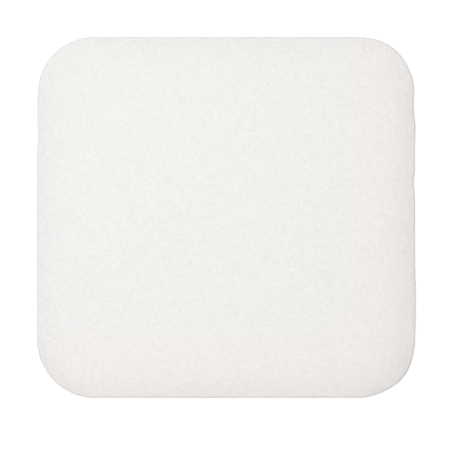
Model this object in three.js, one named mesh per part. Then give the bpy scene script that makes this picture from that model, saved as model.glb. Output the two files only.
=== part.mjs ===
// Foam wound dressing: one soft white pad with rounded corners and a rolled edge.
// Millimetres, +Z up. The pad lies with its wound face down, at z = 0.
// The origin is the middle of the wound face, and X runs along the longer side.

import * as THREE from 'three';

// Outline, seen from above
const PAD_LENGTH = 105;
const PAD_WIDTH = 100;
const CORNER_RADIUS = 16;

// Section
const PAD_THICKNESS = 5;
const LOWER_EDGE_RADIUS = 0.4;
const UPPER_EDGE_RADIUS = 0.9;

// Crown: the band in which the top falls away from its flat middle to the upper edge
const CROWN_WIDTH = 20.5;
const CROWN_DROP = 2.6;
const CROWN_EXPONENT = 3.5; // over 2, so that most of the fall lies near the edge
const FLAT_CORNER_RADIUS = 6;

// Finish
const FOAM_COLOUR = 0xf2f1ef;
const FOAM_ROUGHNESS = 0.85;

// Smoothness of the curves
const CORNER_STEPS = 14;
const CROWN_STEPS = 14;
const UPPER_EDGE_STEPS = 4;
const LOWER_EDGE_STEPS = 4;

// The upper edge's round starts at the upright side and ends at the crown's slope there
const QUARTER_TURN = Math.PI / 2;
const EDGE_SLOPE = Math.atan(CROWN_DROP * CROWN_EXPONENT / CROWN_WIDTH);
const UPPER_EDGE_WIDTH = UPPER_EDGE_RADIUS * (1 - Math.sin(EDGE_SLOPE));
const SIDE_TOP = PAD_THICKNESS - CROWN_DROP - UPPER_EDGE_RADIUS * Math.cos(EDGE_SLOPE);

// A ring is the pad's outline at one height, drawn in by an inset from the full outline.
// It returns its points in order, turning left as seen from above.
function ringPoints({ inset, cornerRadius, height }) {
  const centreX = PAD_LENGTH / 2 - inset - cornerRadius;
  const centreY = PAD_WIDTH / 2 - inset - cornerRadius;
  const arcCentres = [
    [centreX, centreY],
    [-centreX, centreY],
    [-centreX, -centreY],
    [centreX, -centreY],
  ];
  return arcCentres.flatMap(([x, y], corner) => {
    const start = corner * QUARTER_TURN;
    const arc = new THREE.EllipseCurve(x, y, cornerRadius, cornerRadius, start, start + QUARTER_TURN);
    return arc.getPoints(CORNER_STEPS).map((point) => new THREE.Vector3(point.x, point.y, height));
  });
}

// The small round between the wound face and the side, from the face up
function lowerEdgeRings() {
  return Array.from({ length: LOWER_EDGE_STEPS + 1 }, (_, step) => {
    const angle = QUARTER_TURN * step / LOWER_EDGE_STEPS;
    const inset = LOWER_EDGE_RADIUS * (1 - Math.sin(angle));
    return {
      inset,
      cornerRadius: CORNER_RADIUS - inset,
      height: LOWER_EDGE_RADIUS * (1 - Math.cos(angle)),
    };
  });
}

// The round between the side and the crown, up to where the crown's first ring lies
function upperEdgeRings() {
  return Array.from({ length: UPPER_EDGE_STEPS }, (_, step) => {
    const angle = (QUARTER_TURN - EDGE_SLOPE) * step / UPPER_EDGE_STEPS;
    const inset = UPPER_EDGE_RADIUS * (1 - Math.cos(angle));
    return {
      inset,
      cornerRadius: CORNER_RADIUS - inset,
      height: SIDE_TOP + UPPER_EDGE_RADIUS * Math.sin(angle),
    };
  });
}

// The crown, from the upper edge in to the flat middle
function crownRings() {
  const outerCornerRadius = CORNER_RADIUS - UPPER_EDGE_WIDTH;
  return Array.from({ length: CROWN_STEPS + 1 }, (_, step) => {
    const inward = step / CROWN_STEPS;
    return {
      inset: UPPER_EDGE_WIDTH + CROWN_WIDTH * inward,
      cornerRadius: THREE.MathUtils.lerp(outerCornerRadius, FLAT_CORNER_RADIUS, inward),
      height: PAD_THICKNESS - CROWN_DROP * (1 - inward) ** CROWN_EXPONENT,
    };
  });
}

// Joins each ring to the next one, and closes the first and the last with a flat face
function closedLoft(rings) {
  const loops = rings.map(ringPoints);
  const loopSize = loops[0].length;
  const faces = [];

  for (let ring = 0; ring < loops.length - 1; ring += 1) {
    for (let i = 0; i < loopSize; i += 1) {
      const next = (i + 1) % loopSize;
      const low = ring * loopSize;
      const high = low + loopSize;
      faces.push(low + i, low + next, high + next);
      faces.push(low + i, high + next, high + i);
    }
  }

  const topStart = (loops.length - 1) * loopSize;
  for (const [a, b, c] of THREE.ShapeUtils.triangulateShape(loops[0], [])) {
    faces.push(c, b, a);
    faces.push(topStart + a, topStart + b, topStart + c);
  }

  const geometry = new THREE.BufferGeometry().setFromPoints(loops.flat());
  geometry.setIndex(faces);
  geometry.computeVertexNormals();
  return geometry;
}

function foamPad() {
  const foam = new THREE.MeshStandardMaterial({
    color: FOAM_COLOUR,
    roughness: FOAM_ROUGHNESS,
    metalness: 0,
  });
  const rings = [...lowerEdgeRings(), ...upperEdgeRings(), ...crownRings()];
  const pad = new THREE.Mesh(closedLoft(rings), foam);
  pad.name = 'foam_pad';
  return pad;
}

const dressing = new THREE.Group();
dressing.add(foamPad());

export default dressing;
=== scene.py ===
"""A foam wound dressing seen from straight above: one soft white pad with a pebbled skin
and a rolled edge, lying on a white table under a large softbox."""

import math

import bpy
import numpy as np
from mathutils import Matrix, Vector, noise


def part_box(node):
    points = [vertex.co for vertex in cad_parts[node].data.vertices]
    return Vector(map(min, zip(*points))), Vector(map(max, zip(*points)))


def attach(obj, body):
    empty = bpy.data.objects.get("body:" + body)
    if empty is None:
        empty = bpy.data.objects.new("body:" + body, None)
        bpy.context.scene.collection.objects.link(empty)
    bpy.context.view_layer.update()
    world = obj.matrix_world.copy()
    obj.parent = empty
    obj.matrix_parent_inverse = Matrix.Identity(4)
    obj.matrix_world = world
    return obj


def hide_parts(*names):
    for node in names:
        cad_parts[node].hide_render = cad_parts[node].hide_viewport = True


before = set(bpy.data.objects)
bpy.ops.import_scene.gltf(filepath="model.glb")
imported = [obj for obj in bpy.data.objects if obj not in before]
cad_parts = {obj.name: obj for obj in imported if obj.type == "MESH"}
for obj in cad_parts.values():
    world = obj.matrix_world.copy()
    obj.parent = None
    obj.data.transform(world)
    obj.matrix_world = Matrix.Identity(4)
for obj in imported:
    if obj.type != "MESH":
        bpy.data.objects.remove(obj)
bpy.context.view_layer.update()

MM = 0.001

# The pad, with the section that its solid has
pad_low, pad_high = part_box("foam_pad")
HALF_LENGTH = (pad_high[0] - pad_low[0]) / 2
HALF_WIDTH = (pad_high[1] - pad_low[1]) / 2
THICKNESS = pad_high[2] - pad_low[2]
CORNER_RADIUS = 16 * MM
FLAT_CORNER_RADIUS = 6 * MM
CROWN_WIDTH = 20.5 * MM
CROWN_DROP = 2.6 * MM
CROWN_EXPONENT = 3.5
UPPER_EDGE_RADIUS = 0.9 * MM
LOWER_EDGE_RADIUS = 0.4 * MM
LONG_EDGE_FLATTENING = 0.2  # share of the fall that the two long edges lack
CORNER_BEND = 0.55 * MM
CORNER_BEND_WIDTH = 6 * MM

# The crown is at its steepest where it runs into the upper edge's round
STEEPEST = math.atan(CROWN_DROP * CROWN_EXPONENT / CROWN_WIDTH)
SHOULDER_WIDTH = CROWN_WIDTH + UPPER_EDGE_RADIUS * (1 - math.sin(STEEPEST))
SIDE_HEIGHT = THICKNESS - CROWN_DROP - UPPER_EDGE_RADIUS * math.cos(STEEPEST)

# How finely the skin is meshed, in rings from the middle out
FLAT_RINGS = 76
CROWN_RINGS = 60
UPPER_EDGE_RINGS = 5
SIDE_RINGS = 5
LOWER_EDGE_RINGS = 3
EDGE_CROWDING = 1.4  # over 1, so the crown's rings lie closer together towards the edge

# Marks that handling left on the side edges: where along the edge, half width, how far out
RIGHT_EDGE_MARKS = (
    (31.0 * MM, 4.5 * MM, -0.34 * MM),
    (25.0 * MM, 3.0 * MM, 0.17 * MM),
    (19.0 * MM, 2.0 * MM, -0.10 * MM),
    (9.5 * MM, 2.7 * MM, -0.32 * MM),
    (-20.5 * MM, 4.5 * MM, 0.22 * MM),
    (-28.0 * MM, 4.5 * MM, 0.22 * MM),
)
LEFT_EDGE_MARKS = (
    (33.5 * MM, 5.0 * MM, -0.17 * MM),
    (23.0 * MM, 5.5 * MM, -0.23 * MM),
    (11.5 * MM, 4.0 * MM, -0.11 * MM),
)
# The same on the corners: towards which sides in X and Y, degrees round from the side edge,
# half width in degrees, how far out
CORNER_MARKS = (
    (1, -1, 38, 19, 0.54 * MM),
    (1, 1, 52, 20, 0.36 * MM),
    (-1, 1, 8, 14, -0.16 * MM),
)
MARK_REACH = 9 * MM  # how far in from the edge a mark dies away

# Relief and grain of the skin. Real foam cells are about 0.3 mm across, too fine to show
# here, so all of these are drawn as coarse as they need to show.
PEBBLE_SIZE = 1.1 * MM
PEBBLE_HEIGHT = 0.06 * MM
PEBBLE_SPREAD = 0.7  # squared distance, in pebble sizes, over which a pebble falls away
SWELL_SIZE = 22 * MM
SWELL_HEIGHT = 0.05 * MM
RELIEF_FADE = 0.8 * MM  # above the wound face, over which the relief sets in
CELL_SIZE = 0.8 * MM
CELL_DEPTH = 0.08 * MM
GRIT_SIZE = 0.7 * MM
GRIT_HEIGHT = 0.12 * MM

PAINTED_WARM_SHADE_WIDTH = 25 * MM  # band of painted warm shade along the right and lower edges, which face away from the softbox
CLOUD_SIZE = 6 * MM  # of the slight unevenness of the silicone's sheen

# Table and light
TABLE_SIZE = 4.0
TABLE_LIFT_NEAR = (0.08, 0.28)  # metres from the middle, and how much it is lifted there
TABLE_LIFT_FAR = (0.5, 0.85)
SKY_LIGHT = 0.22
SOFTBOX_SIZE = 0.4
SOFTBOX_POWER = 2.17
SOFTBOX_PLACE = (-0.056, 0.042, 0.5)

# Framing
PICTURE_SIZE = 450
PAD_LENGTH_IN_PICTURE = 378.0
PAD_CENTRE_IN_PICTURE = (225.8, 217.25)
LENS = 135
SENSOR = 36


def linear(hex_colour):
    """An sRGB hex colour as linear red, green and blue, with an alpha of 1."""
    parts = [int(hex_colour[i : i + 2], 16) / 255 for i in (1, 3, 5)]
    return [p / 12.92 if p <= 0.04045 else ((p + 0.055) / 1.055) ** 2.4 for p in parts] + [1]


# Shape of the pad
def top_rings():
    """Rings over the top, from its middle out to where the side begins, as rows of half
    length, half width, corner radius and height."""
    share = np.arange(FLAT_RINGS)[:, None] / FLAT_RINGS
    flat_sizes = [HALF_LENGTH - SHOULDER_WIDTH, HALF_WIDTH - SHOULDER_WIDTH, FLAT_CORNER_RADIUS]
    flat = np.hstack([share * flat_sizes, np.full_like(share, THICKNESS)])

    inward = np.linspace(1, 0, CROWN_RINGS + 1) ** EDGE_CROWDING
    inset = SHOULDER_WIDTH - CROWN_WIDTH * (1 - inward)
    edge_corner = CORNER_RADIUS - SHOULDER_WIDTH + CROWN_WIDTH
    crown = np.stack([
        HALF_LENGTH - inset,
        HALF_WIDTH - inset,
        edge_corner + (FLAT_CORNER_RADIUS - edge_corner) * inward,
        THICKNESS - CROWN_DROP * (1 - inward) ** CROWN_EXPONENT,
    ], axis=1)

    turn = np.linspace(math.pi / 2 - STEEPEST, 0, UPPER_EDGE_RINGS + 1)[1:]
    inset = UPPER_EDGE_RADIUS * (1 - np.cos(turn))
    edge = np.stack([
        HALF_LENGTH - inset,
        HALF_WIDTH - inset,
        CORNER_RADIUS - inset,
        SIDE_HEIGHT + UPPER_EDGE_RADIUS * np.sin(turn),
    ], axis=1)
    return np.vstack([flat, crown, edge])


def side_rings():
    """Rings down the upright side and round its lower edge, in the same form."""
    side = np.linspace(SIDE_HEIGHT, LOWER_EDGE_RADIUS, SIDE_RINGS + 1)[1:]
    turn = np.linspace(0, math.pi / 2, LOWER_EDGE_RINGS + 1)[1:]
    inset = np.concatenate([np.zeros(SIDE_RINGS), LOWER_EDGE_RADIUS * (1 - np.cos(turn))])
    height = np.concatenate([side, LOWER_EDGE_RADIUS * (1 - np.sin(turn))])
    return np.stack(
        [HALF_LENGTH - inset, HALF_WIDTH - inset, CORNER_RADIUS - inset, height], axis=1
    )


def on_ring(u, v, ring):
    """Where a point of a square's rim lies on a ring. u and v run from -1 to 1, and the
    larger one is at its end."""
    half_length, half_width, radius, height = ring.T
    at_end = np.abs(u) >= np.abs(v)
    half_across = np.where(at_end, half_length, half_width)
    half_along = np.where(at_end, half_width, half_length)
    straight = half_along - radius
    travel = np.where(at_end, v, u) * (straight + radius * math.pi / 4)
    past = np.abs(travel) - straight
    turn = np.clip(past / np.maximum(radius, 1e-9), 0, math.pi / 4)
    along = np.sign(travel) * (np.minimum(np.abs(travel), straight) + radius * np.sin(turn))
    across = half_across - radius + radius * np.cos(turn)
    x = np.where(at_end, np.sign(u) * across, along)
    y = np.where(at_end, along, np.sign(v) * across)
    return np.stack([x, y, height + 0 * x], axis=1)


def pad_points_and_faces():
    """The plain pad: a net of squares over the top, rings down the side, and one flat face
    on the wound side."""
    rings = top_rings()
    last = len(rings) - 1
    steps = np.arange(-last, last + 1)
    across = len(steps)
    u, v = (grid.ravel() for grid in np.meshgrid(steps, steps, indexing="ij"))
    ring = np.maximum(np.abs(u), np.abs(v))
    span = np.maximum(ring, 1)
    points = [on_ring(u / span, v / span, rings[ring])]

    corner = np.arange(across * across).reshape(across, across)
    squares = np.stack(
        [corner[:-1, :-1], corner[1:, :-1], corner[1:, 1:], corner[:-1, 1:]], axis=-1
    )
    faces = squares.reshape(-1, 4).tolist()

    # The rim of the net, turning left from the corner at +X and -Y
    rim = np.concatenate([
        corner[-1, :-1],
        corner[:0:-1, -1],
        corner[0, :0:-1],
        corner[:-1, 0],
    ])
    above = rim
    for number, row in enumerate(side_rings()):
        sizes = np.tile(row, (len(rim), 1))
        points.append(on_ring(u[rim] / last, v[rim] / last, sizes))
        below = across * across + number * len(rim) + np.arange(len(rim))
        faces += np.stack(
            [above, below, np.roll(below, -1), np.roll(above, -1)], axis=1
        ).tolist()
        above = below
    faces.append(above[::-1].tolist())
    return np.vstack(points), faces


def ease(values):
    """Values kept between 0 and 1, and slowed down near both."""
    share = np.clip(values, 0, 1)
    return share**2 * (3 - 2 * share)


def uneven_roll(points):
    """Lets the top fall away less towards the two long edges than towards the short ones,
    and bends the rim of the two lower corners down a little more."""
    from_short_edge = HALF_LENGTH - np.abs(points[:, 0])
    from_long_edge = HALF_WIDTH - np.abs(points[:, 1])
    above_side = (points[:, 2] - LOWER_EDGE_RADIUS) / (SIDE_HEIGHT - LOWER_EDGE_RADIUS)
    free = np.clip(above_side, 0, 1)
    nearer_long = ease(0.5 + (from_short_edge - from_long_edge) / CORNER_RADIUS)
    points[:, 2] += LONG_EDGE_FLATTENING * nearer_long * free * (THICKNESS - points[:, 2])

    past_x = np.maximum(CORNER_RADIUS - from_short_edge, 0)
    past_y = np.maximum(CORNER_RADIUS - from_long_edge, 0)
    on_corner = ease(2 * past_x / CORNER_RADIUS) * ease(2 * past_y / CORNER_RADIUS)
    from_rim = CORNER_RADIUS - np.hypot(past_x, past_y)
    bent = np.clip(1 - from_rim / CORNER_BEND_WIDTH, 0, 1) ** 2
    points[:, 2] -= CORNER_BEND * on_corner * bent * free * (points[:, 1] < 0)


def edge_marks(places, marks):
    """How far out the marks of one side edge push it, at places along that edge."""
    return sum(out * np.exp(-(((places - at) / half) ** 2)) for at, half, out in marks)


def mark_edges(points):
    """Moves the two side edges in and out by their marks, dying away inwards."""
    inside = HALF_LENGTH - np.abs(points[:, 0])
    strength = np.clip(1 - inside / MARK_REACH, 0, 1) ** 2
    right = edge_marks(points[:, 1], RIGHT_EDGE_MARKS)
    left = -edge_marks(points[:, 1], LEFT_EDGE_MARKS)
    points[:, 0] += strength * np.where(points[:, 0] > 0, right, left)


def mark_corners(points):
    """Moves the rounds of the corners in and out by their marks, dying away inwards."""
    for side_x, side_y, at, half, out in CORNER_MARKS:
        past_x = np.maximum(side_x * points[:, 0] - HALF_LENGTH + CORNER_RADIUS, 0)
        past_y = np.maximum(side_y * points[:, 1] - HALF_WIDTH + CORNER_RADIUS, 0)
        reach = np.hypot(past_x, past_y)
        strength = np.clip(1 - (CORNER_RADIUS - reach) / MARK_REACH, 0, 1) ** 2
        turn = np.degrees(np.arctan2(past_y, past_x))
        push = out * np.exp(-(((turn - at) / half) ** 2)) * strength / np.maximum(reach, MM)
        on_round = (past_x > 0) & (past_y > 0)
        points[:, 0] += side_x * push * past_x * on_round
        points[:, 1] += side_y * push * past_y * on_round


def pebble_at(place):
    """The film's rounded pebbles over the foam's cells, from about 0 in the dips to 1."""
    nearest = noise.voronoi(place / PEBBLE_SIZE)[0][0]
    return 1 - nearest * nearest / PEBBLE_SPREAD


def make_pad():
    points, faces = pad_points_and_faces()
    uneven_roll(points)
    mark_edges(points)
    mark_corners(points)
    mesh = bpy.data.meshes.new("foam_pad_skin")
    mesh.from_pydata(points.tolist(), [], faces)
    normals = np.empty(len(points) * 3, np.float32)
    mesh.vertex_normals.foreach_get("vector", normals)
    places = [Vector(point) for point in points]
    pebble = np.array([pebble_at(place) for place in places])
    swell = np.array([noise.noise(place / SWELL_SIZE) for place in places])
    relief = PEBBLE_HEIGHT * (pebble - pebble.mean()) + SWELL_HEIGHT * swell
    fade = np.clip(points[:, 2] / RELIEF_FADE, 0, 1) ** 2
    points += normals.reshape(-1, 3) * (relief * fade)[:, None]
    mesh.vertices.foreach_set("co", points.astype(np.float32).ravel())
    mesh.polygons.foreach_set("use_smooth", [True] * len(faces))
    mesh.materials.append(foam_skin())
    mesh.materials.append(silicone_face())
    wound_face = mesh.polygons[len(faces) - 1]
    wound_face.use_smooth = False
    wound_face.material_index = 1
    mesh.update()
    pad = bpy.data.objects.new("foam_pad_skin", mesh)
    bpy.context.collection.objects.link(pad)
    return pad


# Materials
def add_node(tree, kind, inputs=None, **settings):
    """Adds a node. inputs gives a value, or the output that feeds it, for each input."""
    made = tree.nodes.new(kind)
    for name, value in settings.items():
        setattr(made, name, value)
    for name, value in (inputs or {}).items():
        if isinstance(value, bpy.types.NodeSocket):
            tree.links.new(value, made.inputs[name])
        else:
            made.inputs[name].default_value = value
    return made


def empty_material(name):
    material = bpy.data.materials.new(name)
    material.use_nodes = True
    material.node_tree.nodes.clear()
    return material, material.node_tree


def painted_warm_shade_mask(tree, place):
    """Painted warm shade: 0 over most of the pad, and up to 1 at the right and lower edges,
    which face away from the softbox. It reaches further in where the two meet."""
    along = add_node(tree, "ShaderNodeSeparateXYZ", {0: place})
    right = add_node(tree, "ShaderNodeMapRange", {
        "Value": along.outputs["X"],
        "From Min": HALF_LENGTH - PAINTED_WARM_SHADE_WIDTH,
        "From Max": HALF_LENGTH,
    })
    lower = add_node(tree, "ShaderNodeMapRange", {
        "Value": along.outputs["Y"],
        "From Min": PAINTED_WARM_SHADE_WIDTH - HALF_WIDTH,
        "From Max": -HALF_WIDTH,
    })
    return add_node(tree, "ShaderNodeMath", {
        0: right.outputs[0],
        1: lower.outputs[0],
    }, operation="ADD", use_clamp=True).outputs[0]


def foam_skin():
    """Polyurethane foam under a thin matt backing film. The film dips between the foam's
    cells, which gives a dull, finely pebbled white with no clear highlight. The white is a
    little darker in the cells' dips, partly painted shade in the dips and partly the film's own
    tone. Towards the right and lower edges, which face away from the softbox, it is painted
    a little warmer as warm shade."""
    material, tree = empty_material("matt film over polyurethane foam")
    place = add_node(tree, "ShaderNodeTexCoord").outputs["Object"]
    fine_cells = add_node(tree, "ShaderNodeTexVoronoi", {
        "Vector": place,
        "Scale": 1 / CELL_SIZE,
    }, feature="SMOOTH_F1")
    grit = add_node(tree, "ShaderNodeTexNoise", {
        "Vector": place,
        "Scale": 1 / GRIT_SIZE,
        "Detail": 1.0,
    })
    # Darker in the cells' dips: partly painted shade in the dips, partly the film's own tone
    plain = add_node(tree, "ShaderNodeMix", {
        0: fine_cells.outputs["Distance"],
        6: linear("#F7F6F4"),
        7: linear("#EDECEA"),
    }, data_type="RGBA")
    # The same white, warmer: painted warm shade for the right and lower edges, which face away
    # from the softbox
    warm_shade_colour = add_node(tree, "ShaderNodeMix", {
        0: fine_cells.outputs["Distance"],
        6: linear("#FBF6F4"),
        7: linear("#F1ECEA"),
    }, data_type="RGBA")
    tint = add_node(tree, "ShaderNodeMix", {
        0: painted_warm_shade_mask(tree, place),
        6: plain.outputs[2],
        7: warm_shade_colour.outputs[2],
    }, data_type="RGBA")
    roughness = add_node(tree, "ShaderNodeMapRange", {
        "Value": grit.outputs[0],
        "To Min": 0.6,
        "To Max": 0.8,
    })
    cell_bump = add_node(tree, "ShaderNodeBump", {
        "Height": fine_cells.outputs["Distance"],
        "Strength": 1.0,
        "Distance": -CELL_DEPTH,
    })
    grit_bump = add_node(tree, "ShaderNodeBump", {
        "Height": grit.outputs[0],
        "Normal": cell_bump.outputs[0],
        "Strength": 1.0,
        "Distance": GRIT_HEIGHT,
    })
    skin = add_node(tree, "ShaderNodeBsdfPrincipled", {
        "Base Color": tint.outputs[2],
        "Roughness": roughness.outputs[0],
        "IOR": 1.45,
        "Subsurface Weight": 0.3,
        "Subsurface Radius": (1.0, 1.0, 1.0),
        "Subsurface Scale": 0.6 * MM,
        "Normal": grit_bump.outputs[0],
    })
    add_node(tree, "ShaderNodeOutputMaterial", {"Surface": skin.outputs[0]})
    return material


def silicone_face():
    """Soft silicone coated smooth on the wound side, with a low, even sheen."""
    material, tree = empty_material("smooth silicone wound face")
    place = add_node(tree, "ShaderNodeTexCoord").outputs["Object"]
    cloud = add_node(tree, "ShaderNodeTexNoise", {
        "Vector": place,
        "Scale": 1 / CLOUD_SIZE,
        "Detail": 3.0,
    })
    roughness = add_node(tree, "ShaderNodeMapRange", {
        "Value": cloud.outputs[0],
        "To Min": 0.32,
        "To Max": 0.45,
    })
    tint = add_node(tree, "ShaderNodeMix", {
        0: cloud.outputs[0],
        6: linear("#EBEAE6"),
        7: linear("#F0EFEB"),
    }, data_type="RGBA")
    face = add_node(tree, "ShaderNodeBsdfPrincipled", {
        "Base Color": tint.outputs[2],
        "Roughness": roughness.outputs[0],
        "IOR": 1.41,
    })
    add_node(tree, "ShaderNodeOutputMaterial", {"Surface": face.outputs[0]})
    return material


def seen_directly(tree):
    """1 for what the camera, a reflection or glass looks at, and 0 for light on its way."""
    path = add_node(tree, "ShaderNodeLightPath")
    either = add_node(tree, "ShaderNodeMath", {
        0: path.outputs["Is Camera Ray"],
        1: path.outputs["Is Glossy Ray"],
    }, operation="MAXIMUM")
    return add_node(tree, "ShaderNodeMath", {
        0: either.outputs[0],
        1: path.outputs["Is Transmission Ray"],
    }, operation="MAXIMUM").outputs[0]


def table_top():
    """White laminate, matt and even, lifted to white where it is looked at. It is lifted
    less close to the pad, which keeps the soft shadow at the pad's foot."""
    material, tree = empty_material("white laminate")
    place = add_node(tree, "ShaderNodeTexCoord").outputs["Object"]
    away = add_node(tree, "ShaderNodeVectorMath", {0: place}, operation="LENGTH")
    amount = add_node(tree, "ShaderNodeMapRange", {
        "Value": away.outputs["Value"],
        "From Min": TABLE_LIFT_NEAR[0],
        "From Max": TABLE_LIFT_FAR[0],
        "To Min": TABLE_LIFT_NEAR[1],
        "To Max": TABLE_LIFT_FAR[1],
    })
    board = add_node(tree, "ShaderNodeBsdfPrincipled", {
        "Base Color": linear("#F8F8F8"),
        "Roughness": 0.9,
        "Specular IOR Level": 0.2,
    })
    lift = add_node(tree, "ShaderNodeMath", {
        0: seen_directly(tree),
        1: amount.outputs[0],
    }, operation="MULTIPLY")
    glow = add_node(tree, "ShaderNodeEmission", {"Strength": lift.outputs[0]})
    both = add_node(tree, "ShaderNodeAddShader", {0: board.outputs[0], 1: glow.outputs[0]})
    add_node(tree, "ShaderNodeOutputMaterial", {"Surface": both.outputs[0]})
    return material


# Table, light and camera
def make_table():
    half = TABLE_SIZE / 2
    mesh = bpy.data.meshes.new("table")
    corners = [(-half, -half, 0), (half, -half, 0), (half, half, 0), (-half, half, 0)]
    mesh.from_pydata(corners, [], [(0, 1, 2, 3)])
    mesh.materials.append(table_top())
    table = bpy.data.objects.new("table", mesh)
    bpy.context.collection.objects.link(table)


def light_room():
    """Even white light from all round, white to look at."""
    world = bpy.data.worlds.new("studio")
    world.use_nodes = True
    tree = world.node_tree
    tree.nodes.clear()
    strength = add_node(tree, "ShaderNodeMapRange", {
        "Value": seen_directly(tree),
        "To Min": SKY_LIGHT,
        "To Max": 1.0,
    })
    room = add_node(tree, "ShaderNodeBackground", {
        "Color": (1, 1, 1, 1),
        "Strength": strength.outputs[0],
    })
    add_node(tree, "ShaderNodeOutputWorld", {"Surface": room.outputs[0]})
    bpy.context.scene.world = world


def hang_softbox():
    """The main light, over the pad and a little to its upper left, facing its middle."""
    lamp = bpy.data.lights.new("softbox", "AREA")
    lamp.shape = "DISK"
    lamp.size = SOFTBOX_SIZE
    lamp.energy = SOFTBOX_POWER
    softbox = bpy.data.objects.new("softbox", lamp)
    softbox.location = SOFTBOX_PLACE
    softbox.rotation_euler = Vector(SOFTBOX_PLACE).to_track_quat("Z", "Y").to_euler()
    bpy.context.collection.objects.link(softbox)


def place_camera():
    """Straight over the pad, up the picture being +Y, with the pad as large and as far off
    the picture's middle as in the photograph."""
    pixel = 2 * HALF_LENGTH / PAD_LENGTH_IN_PICTURE
    middle = PICTURE_SIZE / 2
    camera_data = bpy.data.cameras.new("camera")
    camera_data.lens = LENS
    camera_data.sensor_width = SENSOR
    camera = bpy.data.objects.new("camera", camera_data)
    camera.location = (
        (middle - PAD_CENTRE_IN_PICTURE[0]) * pixel,
        (PAD_CENTRE_IN_PICTURE[1] - middle) * pixel,
        SIDE_HEIGHT + PICTURE_SIZE * pixel * LENS / SENSOR,
    )
    bpy.context.collection.objects.link(camera)
    bpy.context.scene.camera = camera


make_table()
light_room()
hang_softbox()
place_camera()

pad = make_pad()
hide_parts("foam_pad")
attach(pad, "root")

bpy.context.scene.view_settings.view_transform = "Standard"
